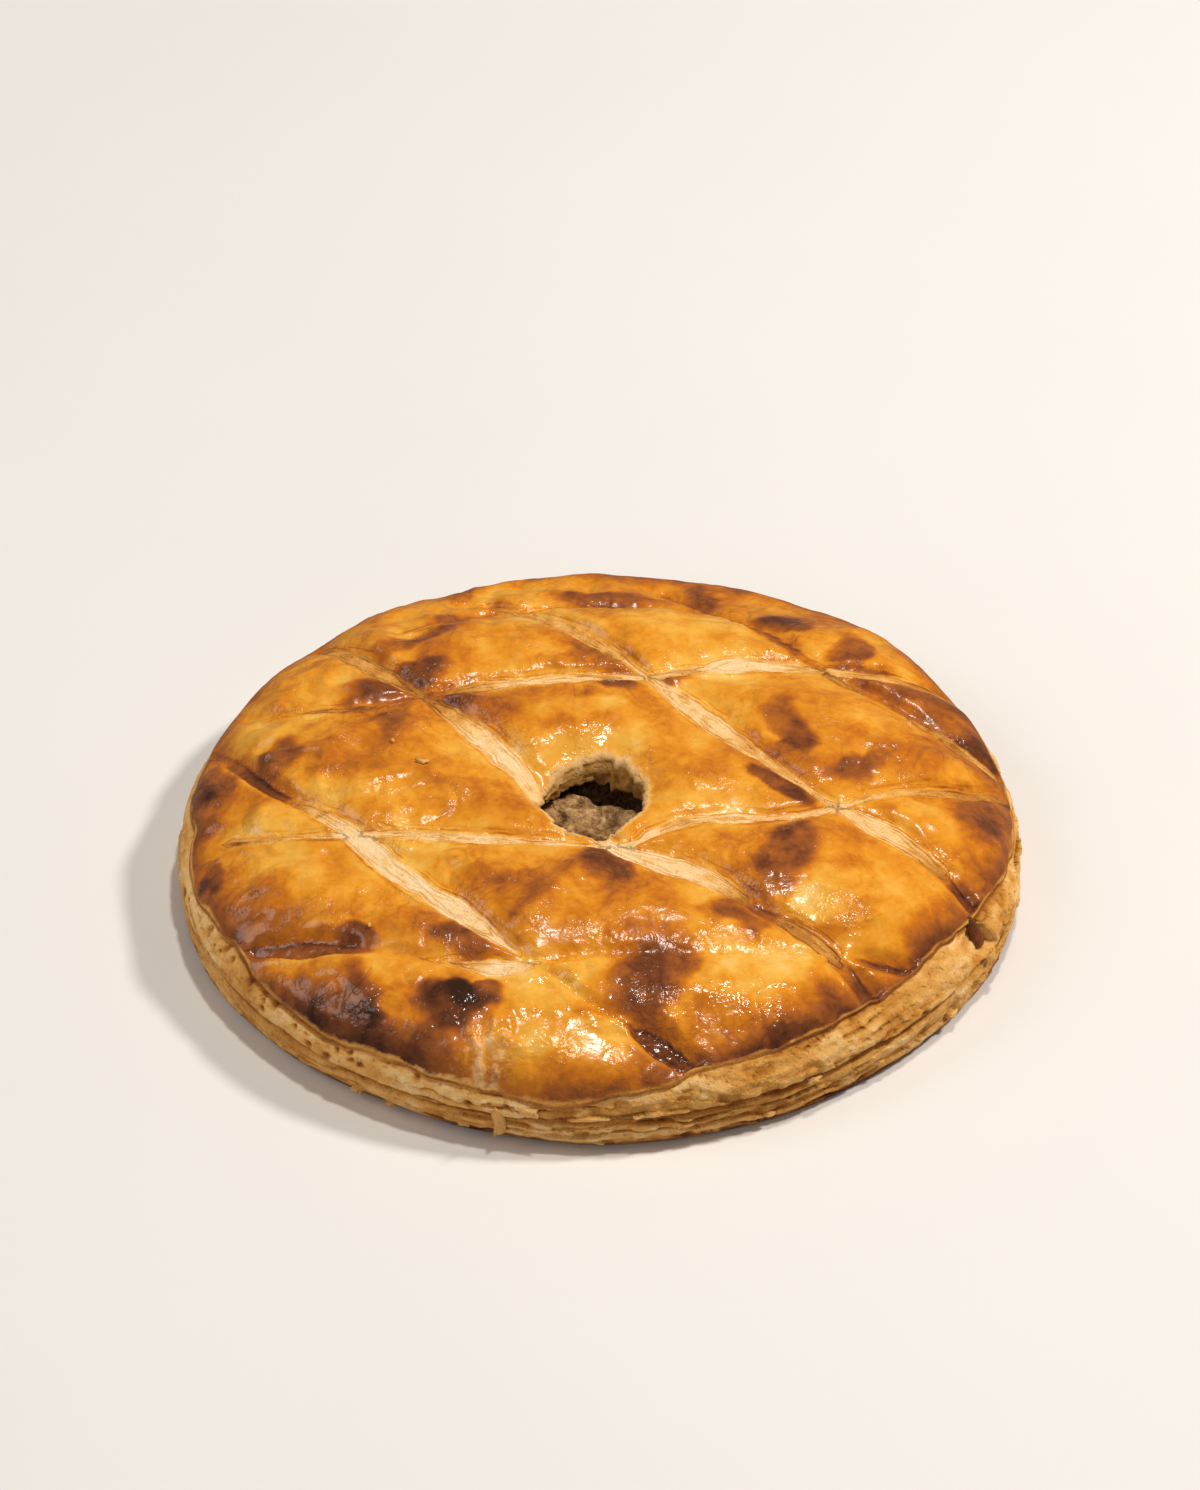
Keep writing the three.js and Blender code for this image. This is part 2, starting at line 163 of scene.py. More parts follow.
# Paler patches, in the same terms
PALE_PATCHES = [
    (98, -16, 14, 7, -30, .16), (72, -52, 16, 10, 20, .2), (-100, -13, 12, 7, -20, .13),
    (-20, -92, 16, 8, 0, .14), (-78, -5, 10, 7, -20, .1), (81, -58, 12, 8, 0, .12),
    (-4, 31, 13, 6, 0, .2), (-101, 28, 10, 8, 0, .08), (55, -80, 16, 8, 0, .14),
    (28, 78, 22, 10, -5, .12), (-25, -40, 16, 7, 10, .12), (33, -55, 14, 7, -25, .12),
    (-52, -32, 14, 6, 0, .1), (0, 12, 16, 9, 0, .18), (85, 28, 14, 10, -30, .1),
    (-5, -112, 18, 6, 0, .06), (44, -86, 12, 7, 20, .12), (-10, 78, 14, 8, -40, .06),
    (80, -72, 12, 6, 0, .1),
]


def ease(low, high, value):
    """0 at low, 1 at high, which may be the lower number, and eased between."""
    share = np.clip((value - low) / (high - low), 0, 1)
    return share * share * (3 - 2 * share)


def between(pair, share):
    return pair[0] + (pair[1] - pair[0]) * share


def bell(distance, reach):
    return np.exp(-(distance / reach) ** 2)


def columns(*values):
    """Points out of one array or number for each of their coordinates."""
    return np.stack(np.broadcast_arrays(*values), axis=1)


# Noise


def lattice(cells, seed):
    """A fixed random number from -1 to 1 for each whole-number cell."""
    mixed = np.full(len(cells), seed * 374761393, dtype=np.int64)
    for column, prime in zip(cells.T, (668265263, 2147483629, 1274126177)):
        mixed = (mixed ^ (column * prime)) & 0x7FFFFFFF
        mixed = (mixed * 1103515245 + 12345) & 0x7FFFFFFF
        mixed ^= mixed >> 13
    return (mixed & 0xFFFFF) / 524287.5 - 1


def noise(points, size, seed):
    """Smooth random numbers from -1 to 1 at points, with lumps about size across."""
    grid = np.asarray(points, dtype=float) / size + 31.7 * seed
    cell = np.floor(grid).astype(np.int64)
    part = grid - cell
    smooth = part ** 3 * (part * (part * 6 - 15) + 10)
    total = np.zeros(len(grid))
    for corner in np.ndindex((2,) * grid.shape[1]):
        weight = np.where(corner, smooth, 1 - smooth).prod(axis=1)
        total += weight * lattice(cell + corner, seed)
    return total


def rough_noise(points, size, seed, octaves=3):
    """Noise with finer and weaker noise added on top of it."""
    total = np.zeros(len(points))
    strength = 1.0
    for octave in range(octaves):
        total += strength * noise(points, size / 2.1 ** octave, seed + 17 * octave)
        strength *= 0.5
    return total


def lumps(points, *layers):
    """Layers of noise on top of each other: height, size and seed of each."""
    return sum(height * noise(points, size, seed) for height, size, seed in layers)


# Shape of the pie


def outline_share(angle):
    turn = (angle - BULGE_ANGLE + np.pi) % (2 * np.pi) - np.pi
    return 1 + OUTLINE_STRETCH * np.cos(2 * (angle - STRETCH_ANGLE)) + BULGE * bell(turn, BULGE_WIDTH)


def eased(table, angle):
    """Values at an angle, eased from row to row of a table of degrees and values."""
    table = np.array([*table, (360, table[0][1])])
    degrees = np.degrees(angle) % 360
    last = np.searchsorted(table[:, 0], degrees, side="right") - 1
    last = np.clip(last, 0, len(table) - 2)
    start, low = table[last].T
    end, high = table[last + 1].T
    return between((low, high), ease(start, end, degrees))


def around_rim(angle):
    return columns(np.cos(angle), np.sin(angle)) * RIM_RADIUS


def edge_height(angle):
    """Height of the glaze's scalloped lower edge at each angle."""
    return eased(GLAZED_EDGE, angle) + lumps(around_rim(angle), (0.9, 17, 8), (0.4, 6, 9))


def edge_radius(angle):
    rise = edge_height(angle) - DOME_FOOT_HEIGHT
    share = np.maximum(0, rise) / (CROWN_HEIGHT - DOME_FOOT_HEIGHT)
    on_dome = DOME_RADIUS * (1 - share ** (1 / DOME_ROUNDING)) ** (1 / DOME_POWER)
    return (on_dome + SIDE_LEAN * np.maximum(0, -rise)) * outline_share(angle)


def dome_share(share):
    return (1 - np.minimum(1, share) ** DOME_POWER) ** DOME_ROUNDING


def underside_height(radius):
    seam = SEAM_HEIGHT + GAP
    return seam + (CROWN_HEIGHT - LID_THICKNESS - seam) * dome_share(radius / CAVITY_RADIUS)


def spline(knots):
    """A smooth line through knots, with all their columns."""
    knots = np.array(knots, dtype=float)
    padded = np.vstack([knots[:1], knots, knots[-1:]])
    line = []
    for before, start, end, after in zip(padded, padded[1:], padded[2:], padded[3:]):
        for share in np.arange(SPLINE_STEPS) / SPLINE_STEPS:
            slope_in, slope_out = (end - before) / 2, (after - start) / 2
            cubic = (2 * start - 2 * end + slope_in + slope_out) * share ** 3
            square = (3 * end - 3 * start - 2 * slope_in - slope_out) * share ** 2
            line.append(cubic + square + slope_in * share + start)
    line.append(knots[-1])
    return np.array(line)


def score_field(x, y):
    """For each point and its nearest score: how far outside its floor and along it, its width and tone.

    The last value is the side of the score on which the point lies, from -1 in front to 1 behind.
    """
    points = columns(x, y)
    nearest = np.full((5, len(x)), np.inf)
    for number, knots in enumerate(SCORES):
        line = spline(knots)
        begun = LONGEST_SCORE * number
        for start, end in zip(line, line[1:]):
            ahead = (end - start)[:2]
            length = math.hypot(*ahead)
            share = np.clip((points - start[:2]) @ ahead / length ** 2, 0, 1)
            here_x, here_y, width, burn = between((start[:, None], end[:, None]), share)
            off_x, off_y = x - here_x, y - here_y
            outside = np.hypot(off_x, off_y) - width
            side = (ahead[0] * off_y - ahead[1] * off_x) / length
            found = outside, begun + share * length, width, burn, side
            nearest = np.where(outside < nearest[0], found, nearest)
            begun += length
    outside, run, width, burn, side = nearest
    width = np.maximum(width, 0.5)
    return outside, run, width, np.clip(burn, 0, 1), np.clip(side / width, -1, 1)


def patch_field(plane, patches, seed):
    """The summed strength of soft-edged patches, their outlines bent by noise."""
    bend = columns(rough_noise(plane, 12, seed), rough_noise(plane, 12, seed + 1))
    bent_x, bent_y = (plane + PATCH_BEND * bend).T
    soft = 0.42 + 0.32 * noise(plane, 17, seed + 2)
    total = np.zeros(len(plane))
    for x, y, length, width, turn, strength in patches:
        cosine, sine = math.cos(math.radians(turn)), math.sin(math.radians(turn))
        along = ((bent_x - x) * cosine + (bent_y - y) * sine) / length
        across = ((bent_y - y) * cosine - (bent_x - x) * sine) / width
        mask = strength * ease(1 + 0.8 * soft, 1 - soft, np.hypot(along, across))
        total = np.maximum(total, mask) + PATCH_OVERLAP * np.minimum(total, mask)
    return total


# Meshes out of rings


class Body:
    """Rings of points with named values for each point, joined into one closed mesh."""

    def __init__(self, names):
        self.rings = []
        self.points = []
        self.values = {name: [] for name in names}

    def add(self, points, **values):
        start = self.rings[-1].stop if self.rings else 0
        self.rings.append(range(start, start + len(points)))
        self.points.append(points)
        for name, parts in self.values.items():
            parts.append(np.broadcast_to(values.get(name, 0.0), len(points)))

    def stitch(self, first, second):
        """Triangles between two rings of any two counts. A ring of one point is the tip of a fan."""
        first_steps = len(first) if len(first) > 1 else 0
        second_steps = len(second) if len(second) > 1 else 0
        i = j = 0
        while i < first_steps or j < second_steps:
            a, b = first[i % len(first)], second[j % len(second)]
            behind = (j + 1) * first_steps <= (i + 1) * second_steps
            if j < second_steps and (i >= first_steps or behind):
                j += 1
                yield a, b, second[j % len(second)]
            else:
                i += 1
                yield a, b, first[i % len(first)]

    def build(self, name, material, joins_itself=False):
        rings = self.rings + self.rings[:1] if joins_itself else self.rings
        triangles = [face for pair in zip(rings, rings[1:]) for face in self.stitch(*pair)]
        values = {key: np.concatenate(parts) for key, parts in self.values.items()}
        return make_piece(name, np.concatenate(self.points), triangles, material, values)


def add_object(name, data):
    item = bpy.data.objects.new(name, data)
    bpy.context.scene.collection.objects.link(item)
    return item


def make_piece(name, points, faces, material, values):
    """A smooth mesh object. Each value is one number, or one for each point."""
    mesh = bpy.data.meshes.new(name)
    mesh.from_pydata((np.asarray(points) * MM).tolist(), [], faces)
    for key, array in values.items():
        layer = mesh.attributes.new(key, "FLOAT", "POINT")
        layer.data.foreach_set("value", np.full(len(points), array, dtype=np.float32))
    mesh.shade_smooth()
    mesh.materials.append(material)
    return add_object(name, mesh)


def angles(count):
    return 2 * np.pi * np.arange(count) / count


def spaced(radius, apart):
    """Angles of a ring's points that lie about this far apart."""
    return angles(max(6, round(2 * np.pi * radius / apart)))


def directions(angle):
    """Outward, and anticlockwise round the pie."""
    outward = np.array([math.cos(angle), math.sin(angle), 0])
    return outward, np.array([-outward[1], outward[0], 0])


def ring_points(angle, radius, height):
    return columns(radius * np.cos(angle), radius * np.sin(angle), height)


# Lid

TOP_STEP = 0.89
SIDE_STEP = 0.64
VENT_STEP = 0.6
LEAF_ROWS = 24
# How the lid puffs up beside a score: height and reach
PUFFS = ((0.8, 4.0), (2.4, 14.0))
SCORE_FADE = 2.5
SCORE_SINK = 1.15
# Rings of the glaze's rolled edge: how far out and in under it, and how far down
ROLLED_EDGE = ((0.35, 0.0, 0.45), (0.5, 0.4, 0.9), (0.5, 1.0, 1.3))
# Side of the lid below the glaze: share of the way down, and of the way out to the rim
LEAF_SLOPE = ((0, 0.1), (0.12, 0.36), (0.4, 0.76), (0.7, 0.95), (1, 1.0))
# How much the glaze hangs over the leaves: degrees anticlockwise from +X, and a share added to chance
OVERHANG = [
    (0, .3), (90, 0), (180, .2), (215, .2), (240, .3), (262, .3), (275, -.4), (320, -.4), (335, .3),
]
# How dark the glaze's rolled edge is, from browning and from painted shade under the overhang, in the
# same terms
EDGE_BROWNING_AND_SHADE = [
    (0, .5), (180, .3), (200, .6), (245, .6), (265, .3), (285, .5), (305, 1), (340, 1),
]
# How rough the leaves are round the pie, in the same terms
LEAF_STRENGTH = [
    (0, .8), (90, .9), (180, .7), (200, .45), (238, .5), (258, .9), (285, 1), (340, .8),
]
# Folds of the lid's skin: from x, y to x, y, half width, and height, below 0 for a furrow
FOLDS = [
    (-22, -72, -2, -40, 5, 1.2), (62, -22, 46, -58, 5, 1), (-76, -79, -62, -98, 4, 1.4),
    (58, 42, 60, 5, 6, .9), (-105, -38, -78, -33, 4, -1), (-88, 8, -62, 26, 5, .8),
    (-62, 26, -45, 20, 4, .6), (-8, -84, -2, -104, 4, .9), (30, -90, 60, -84, 6, .7),
    (85, -62, 60, -48, 6, .7), (20, 28, 15, 8, 6, .6), (-40, -88, -30, -104, 4, .8),
    (20, 78, 45, 70, 5, -.6), (-75, 58, -52, 64, 5, .7), (-96, -55, -80, -52, 5, .7),
    (8, -66, 20, -92, 5, .8),
]
FOLD_BEND = 2.0
# Lumps of the lid's skin: height, size across and seed
SWELLS = ((0.9, 27, 11), (0.75, 13, 12), (0.36, 7, 13), (0.08, 2.6, 17))
CREASE_DEPTH = 0.75
BLISTER_HEIGHT = 0.7
LEAF_THICKNESS = 2.9
PASTRY_VALUES = ("raw", "brown", "crust", "layer", "run", "wet", "gloss")
DRY_CRUMB = {"raw": 1.0, "layer": 6.0}  # away from any score
# Tones of glaze and crumb, from 0 for pale to 1 for burnt
PLAIN_GLAZE = 0.29
GLAZE_BY_VENT = 0.20
PLAIN_LEAF = 0.29
PLAIN_CRUMB = 0.07
BURNT_CRUMB = 0.84
CRUMB_AT_EDGE = 0.36
CRUMB_AT_VENT = 0.24
# Holes in the leaves under the glaze: how many, between which degrees, and how deep
PORE_COUNT = 30
PORE_RANGE = (192, 264)
PORE_DEPTH = 1.3
# The skin is rumpled at the left and at the back, between these values of x - 0.4 y
RUMPLED = (-20.0, -85.0)
RUMPLE_HEIGHT = 0.6
TORN_SKIN = (-31.0, -114.0)
TORN_REACH = 12.0


def vent_edge(angle):
    """The vent's torn outline, as a share of the plain oval."""
    circle = columns(np.cos(angle), np.sin(angle))
    ragged = lumps(circle, (0.03, 0.5, 5), (0.045, 0.16, 6), (0.04, 0.07, 7))
    return eased(VENT_SHAPE, angle) + ragged


def vent_flare(angle):
    """How much wider the vent is at its foot than at its top: at the back it is narrower."""
    return VENT_FLARE - VENT_LEAN * ease(0.2, 0.9, np.sin(angle))


def from_vent(x, y):
    """How far outside the vent a point lies, by its torn outline and by a smooth one."""
    across = (x - VENT_X) / VENT_HALF_WIDTH
    along = (y - VENT_Y) / VENT_HALF_LENGTH
    angle = np.arctan2(along, across)
    shapes = vent_edge(angle), eased(VENT_SHAPE, angle)
    return [np.maximum(0, np.hypot(across, along) / shape - 1) * VENT_HALF_WIDTH for shape in shapes]


def dome_height(x, y):
    """The smooth lid: a flat dome that sags at the back, and hangs straight below its foot."""
    radius = np.hypot(x, y)
    foot = DOME_RADIUS * outline_share(np.arctan2(y, x))
    rise = CROWN_HEIGHT - DOME_FOOT_HEIGHT - BACK_SAG * ease(*SAG_RANGE, y)
    below = np.maximum(0, radius - foot) / SIDE_LEAN
    height = DOME_FOOT_HEIGHT + rise * dome_share(radius / foot) - below
    for dent_x, dent_y, reach, depth in DENTS:
        height -= depth * bell(np.hypot(x - dent_x, y - dent_y), reach)
    return height


def score_relief(at):
    """Depth of the cut, deepest where it is burnt, and how far the pastry has puffed up beside it.

    The wall in front is steep, and the one behind leans back and shows its leaves.
    """
    depth = (0.75 + 0.22 * at.width + 1.3 * at.burn ** 2) * ease(0, 1.2, at.width)
    wall = between((1.0 + 0.2 * at.width, 2.6 + 0.7 * at.width), at.behind)
    puff = sum(height * (1 - bell(at.away, reach)) for height, reach in PUFFS)
    return depth * ease(1, 0, at.outside / wall), puff


def fold_relief(plane):
    bent = plane + FOLD_BEND * columns(noise(plane, 11, 18), noise(plane, 11, 19))
    total = np.zeros(len(plane))
    for x0, y0, x1, y1, width, height in FOLDS:
        along = np.array([x1 - x0, y1 - y0], dtype=float)
        share = np.clip((bent - (x0, y0)) @ along / (along @ along), 0, 1)
        distance = np.hypot(*(bent - (x0, y0) - share[:, None] * along).T)
        total += height * np.exp(-(distance / width) ** 1.3)
    return total


def skin_relief(plane):
    """Unevenness of the glazed skin, and of the place where it is torn, and how torn it is."""
    relief = fold_relief(plane) + lumps(plane, *SWELLS)
    furrow = (1 - np.abs(rough_noise(plane, 17, 14, 2))) ** 7
    relief -= CREASE_DEPTH * furrow * ease(-0.1, 0.5, noise(plane, 24, 15))
    relief += BLISTER_HEIGHT * np.maximum(0, noise(plane, 5.5, 16) - 0.35)
    rumple = 1 - 2.4 * np.abs(rough_noise(plane * (0.8, 1.2), 12, 30, 2))
    relief += RUMPLE_HEIGHT * rumple * ease(*RUMPLED, plane @ (1, -0.4))
    torn = bell(np.hypot(*(plane - TORN_SKIN).T), TORN_REACH)
    pleat = 1 - 2.2 * np.abs(noise(plane * (1.7, 0.5), 4.4, 20))
    crumple = torn * (1.1 * pleat + 0.7 * noise(plane, 2.5, 27))
    return relief, crumple, torn * (0.85 + 0.15 * pleat)


def lid_spots(x, y):
    """What shapes the lid at x, y: its edge, the vent, the nearest score and the uneven skin."""
    at = SimpleNamespace(plane=columns(x, y))
    at.inside = edge_radius(np.arctan2(y, x)) - np.hypot(x, y)
    at.back = ease(-10, 8, y - VENT_Y)
    at.torn_edge, at.vent = from_vent(x, y)
    at.outside, at.run, at.width, at.burn, side = score_field(x, y)
    at.behind = ease(-0.3, 0.9, side)
    wander = lumps(at.plane, (0.5, 9, 2), (0.28, 3.2, 3), (-0.5, 13, 1))
    at.outside += wander * np.minimum(1.2, 0.3 + at.width / 2) * (1 - 0.6 * at.burn)
    at.away = np.maximum(0, at.outside)
    at.faint = ease(0.8, 0.35, at.width)
    at.charred = ease(0.55, 0.85, at.burn)
    at.cut, at.puff = score_relief(at)
    at.uneven, at.crumple, at.torn = skin_relief(at.plane)
    at.by_vent = bell(at.torn_edge, between((1.8, 2.6), at.back))
    at.by_edge = ease(-1.0, 0.6, 0.5 * noise(at.plane, 5, 24) - at.inside)
    return at


def lid_height(at):
    fade = ease(0, SCORE_FADE, at.inside)
    dip = between(VENT_DIP, at.back) * bell(at.vent, between(VENT_DIP_REACH, at.back))
    height = dome_height(*at.plane.T) + fade * (at.puff - at.cut - SCORE_SINK) - dip
    height -= 0.7 * np.exp(-at.torn_edge / 0.7)
    skin = ease(0.3, 3.5, at.outside)
    crumb = 0.3 * noise(at.plane, 2, 4)
    height += (skin * at.uneven + (1 - skin) * crumb) * (0.4 + 0.6 * ease(0, 8, at.inside))
    return height + at.crumple * (0.3 + 0.7 * fade)


def glaze_tone(at):
    """Tone of the glaze: paler beside a cream score, browner in patches, at the edge and if burnt, with
    painted shade at a charred slot's far edge and painted light on its near lip.
    """
    tone = PLAIN_GLAZE + 0.11 * rough_noise(at.plane, 25, 21) + 0.08 * rough_noise(at.plane, 8, 22)
    browned = patch_field(at.plane, BROWN_PATCHES, 31)
    thin = between((-0.2, 0.14), at.burn) * (1 - 0.7 * at.faint) * bell(at.away, 3.4)
    toasted = ease(-0.1, 0.5, noise(at.plane, 15, 28)) * bell(at.away - 1.5, 0.8)
    toasted *= 0.24 * (1 - at.faint) * (1 - 0.7 * at.behind)
    tone += 0.025 * at.puff + (thin + toasted) * ease(0.25, 0.05, browned)
    tone += 0.22 * ease(12, 0, at.inside) + 0.08 * ease(3, 0, at.inside)
    tone += 0.05 * np.clip(at.uneven, -1, 1) - 0.2 * at.torn
    tone += browned - patch_field(at.plane, PALE_PATCHES, 33)
    tone += (GLAZE_BY_VENT - tone) * bell(at.vent, between((2, 4.5), at.back))
    # Charred slots are burnt brown, with a dark line along the far edge as painted shade.
    scorch_and_shade = 0.16 + 0.6 * at.burn + 0.24 * at.behind * bell(at.outside - 0.2, 0.8)
    tone += np.maximum(0, scorch_and_shade - tone) * at.charred * ease(0.9, -0.2, at.outside)
    # The near lip of a charred slot is paler: painted light.
    return tone - 0.16 * at.charred * (1 - at.behind) * bell(at.outside - 1.8, 1)


def crumb_tone(at):
    """Tone of the bare crumb in the scores, at the vent and at the edge, with painted shade in its
    bubbles and along the floor's edge.
    """
    bubble_shade = ease(0.1, 0.6, noise(at.plane, 6, 25))
    bubble_shade *= ease(0, 0.5, noise(at.plane, 1.8, 26))
    crack_shade = bell(at.outside - 0.2, 0.5) * ease(0, 0.4, noise(at.plane, 11, 29))
    tone = between((PLAIN_CRUMB, BURNT_CRUMB), at.burn) + 0.08 * noise(at.plane, 4, 23)
    # Bubbles and the crack along the floor's edge are painted shade.
    tone += 0.12 * bubble_shade + 0.15 * crack_shade + 0.14 * at.behind * ease(-0.3, 2.2, at.outside)
    return tone + (CRUMB_AT_EDGE - tone) * at.by_edge + (CRUMB_AT_VENT - tone) * at.by_vent


def lid_surface(x, y):
    """The lid's top at x, y: its height, and how raw, brown, far from a score and soaked it is."""
    at = lid_spots(x, y)
    wall = 0.4 * at.behind * ease(0.8, 2, at.width)
    return {
        "height": lid_height(at),
        "raw": np.maximum(np.maximum(at.by_vent, at.by_edge), 0.6 * at.torn),
        "brown": glaze_tone(at),
        "crust": crumb_tone(at),
        "layer": np.clip(at.outside - wall + 3 * at.faint + 4 * at.charred, -6, 6),
        "run": at.run,
        "wet": 0.5 * at.back * bell(at.torn_edge, 1.1),
        "gloss": patch_field(at.plane, GLOSSY_PATCHES, 35),
    }


def leaf_relief(x, y, height, seed):
    """Pastry leaves from the side: how far each point stands out, and how much painted shade it gets in
    gaps and chips.
    """
    level = height / LEAF_THICKNESS + lumps(columns(x, y), (1.1, 38, seed), (0.5, 11, seed + 1))
    leaf = np.floor(level)
    part = level - leaf
    space = columns(x, y, leaf * 60)  # far apart, so that each leaf has its own noise
    chipped = ease(0.1, 0.3, noise(space, 6, seed + 3))
    reach = lumps(space, (0.8, 27, seed + 2), (0.25, 3, seed + 7)) + 0.5 * (part - 0.5) - 0.7 * chipped
    gap = 1 - np.minimum(1, 4 * part * (1 - part)) ** 0.3
    opened = ease(0.05, 0.5, noise(space, 18, seed + 4))
    crumb = lumps(columns(x, y, height * 2), (0.35, 2.8, seed + 5), (0.15, 1.2, seed + 6))
    strength = eased(LEAF_STRENGTH, np.arctan2(y, x))
    relief = reach + crumb - (0.1 + 2.2 * opened) * gap
    # The second value is painted shade: dark in the gaps between leaves and where a leaf is chipped
    # back.
    return relief * strength, (gap * (0.06 + 0.94 * opened) + 0.12 * chipped) * strength


def make_lid(material):
    body = Body(PASTRY_VALUES)
    for share in np.linspace(0, 1, math.ceil((DOME_RADIUS - VENT_HALF_WIDTH) / TOP_STEP) + 1):
        reach = between((VENT_HALF_WIDTH, RIM_RADIUS), share)
        angle = spaced(reach, TOP_STEP)
        x, y = vent_ring(angle, share, 0.0, edge_radius(angle))
        top = lid_surface(x, y)
        body.add(columns(x, y, top.pop("height")), **top)
    add_lid_edge(body)
    add_lid_underside(body)
    return body.build("lid", material, joins_itself=True)


def vent_ring(angle, share, flare, outer):
    """x and y of a ring between the vent, at share 0, and an outer radius, at share 1."""
    ragged = 1 + (vent_edge(angle) - 1) * (1 - share) ** 6
    half_width = between(((VENT_HALF_WIDTH + flare) * ragged, outer), share)
    half_length = between(((VENT_HALF_LENGTH + flare) * ragged, outer), share)
    x = (1 - share) * VENT_X + half_width * np.cos(angle)
    y = (1 - share) * VENT_Y + half_length * np.sin(angle)
    return x, y


def seam_height(angle):
    """Height of the seam between lid and base, which wanders round the pie."""
    return SEAM_HEIGHT + lumps(around_rim(angle), (1.5, 46, 44), (0.5, 14, 45))


def seam_inset(angle):
    """How far the seam lies inside the rim: nearly shut in places."""
    return 0.5 + 1.7 * ease(-0.3, 0.4, noise(around_rim(angle), 31, 46))


def pore_depth(angle, below):
    """Depth of the small holes in the leaves, at a height below the glaze's edge; it also sets their
    painted shade.
    """
    chance = np.random.default_rng(7)
    depth = np.zeros(len(angle))
    for _ in range(PORE_COUNT):
        centre = math.radians(chance.uniform(*PORE_RANGE))
        down, size = chance.uniform(2.0, 5.0), chance.uniform(0.3, 1.0)
        across = (angle - centre) * RIM_RADIUS / (1.5 * size)
        depth = np.maximum(depth, np.exp(-across ** 2 - ((below - down) / size) ** 2))
    return depth


def drip_cleft(angle):
    """How far the leaves are missing behind the drip: a slow start and a sudden end."""
    along = (angle - DRIP_ANGLE) * RIM_RADIUS
    return ease(-14, -2, along) * ease(1.2, 0, along - DRIP_HALF_WIDTH)


def add_lid_edge(body):
    """The glaze's rolled edge, and the pale leaves from there down to the seam."""
    angle = spaced(RIM_RADIUS, SIDE_STEP)
    circle = around_rim(angle)
    radius = edge_radius(angle)
    height = lid_surface(radius * np.cos(angle), radius * np.sin(angle))["height"]
    rim = RIM_RADIUS * outline_share(angle)
    ragged = lumps(circle, (0.4, 7, 41), (0.25, 2.6, 42))
    tuck = 1.5 * ease(0, 0.45, noise(circle, 24, 47) + eased(OVERHANG, angle))
    # The rolled edge under the glaze: browned, and darkened as painted shade where it lies under the
    # overhang.
    tone = 0.44 + 0.12 * noise(circle, 9, 43) + 0.26 * eased(EDGE_BROWNING_AND_SHADE, angle)
    for out, tucked, down in ROLLED_EDGE:
        lower = height - down + ragged * min(1, down)
        points = ring_points(angle, radius + out - tucked * tuck, lower)
        body.add(points, crust=tone, brown=0.6, **DRY_CRUMB)
    top = height - 1.6
    bottom = seam_height(angle) + GAP
    for share in np.linspace(0, 1, LEAF_ROWS):
        reach = between((radius, rim), np.interp(share, *zip(*LEAF_SLOPE)))
        reach -= tuck * ease(0.15, 0, share) + seam_inset(angle) * ease(0.86, 1, share)
        cleft = drip_cleft(angle) * ease(0.86, 0.72, share)
        reach -= cleft * np.clip(reach - radius, 0, CLEFT_DEPTH)
        x, y, z = ring_points(angle, reach, between((top, bottom), share)).T
        out, crevice_shade = leaf_relief(x, y, z, 51)
        # The pores are dents, and leaf_tone also paints them dark as painted shade.
        pore = pore_depth(angle, height - z)
        calm = min(1, share * 6) * min(1, (1 - share) * 5 + 0.2)
        # Just above the seam the leaves are darker: painted shade in the seam.
        tone = leaf_tone(x, y, z, out, np.maximum(crevice_shade, pore), 52) + 0.2 * ease(0.85, 1, share)
        # The top leaves are darker where the glaze tucks over them: painted shade under the overhang.
        tone += 0.25 * tuck * ease(0.12, 0, share)
        reach += out * calm - PORE_DEPTH * pore
        body.add(ring_points(angle, reach, z), crust=tone, brown=0.6, **DRY_CRUMB)


def leaf_tone(x, y, z, out, crevice_shade, seed):
    mottle = 0.12 * noise(columns(x, y), 16, seed) + 0.08 * noise(columns(x, y, z * 2), 4, seed + 1)
    # Darker in crevices and pores as painted shade, paler where a leaf stands out as painted light.
    return PLAIN_LEAF + mottle + 0.46 * crevice_shade - 0.1 * out


def add_lid_underside(body):
    """The seam, the hidden underside and the vent's torn wall."""
    seam = SEAM_HEIGHT + GAP
    for radius, apart in ((SEAM_RADIUS, 2.0), (CAVITY_RADIUS, 4.0)):
        body.add(ring_points(spaced(radius, apart), radius, seam), raw=1.0, crust=0.7)
    for share in np.linspace(1, 0, 14)[1:]:
        reach = between((VENT_HALF_WIDTH, CAVITY_RADIUS), share)
        angle = spaced(reach, VENT_STEP + 4 * share)
        x, y = vent_ring(angle, share, vent_flare(angle), CAVITY_RADIUS)
        z = torn_height(x, y, (1 - share) ** 6)
        body.add(columns(x, y, z), raw=1.0, crust=0.6, wet=1.0)
    angle = spaced(VENT_HALF_WIDTH, VENT_STEP)
    circle = ring_points(angle, VENT_HALF_WIDTH, 0.0)
    for share in np.linspace(0, 1, 12)[1:-1]:
        lump = rough_noise(circle + (0, 0, share * 7), 2.6, 62, 2)
        x, y = vent_ring(angle, 0.0, vent_flare(angle) * (1 - share) + 0.7 * lump, 0.0)
        top = lid_surface(x, y)["height"]
        # The torn wall is darker toward its foot, deep in the vent, and in its hollows: painted shade.
        tone = 0.54 - 0.2 * share + 0.25 * lump
        z = between((torn_height(x, y, 1.0), top), share)
        body.add(columns(x, y, z), crust=tone, wet=1 - 0.4 * share, **DRY_CRUMB)


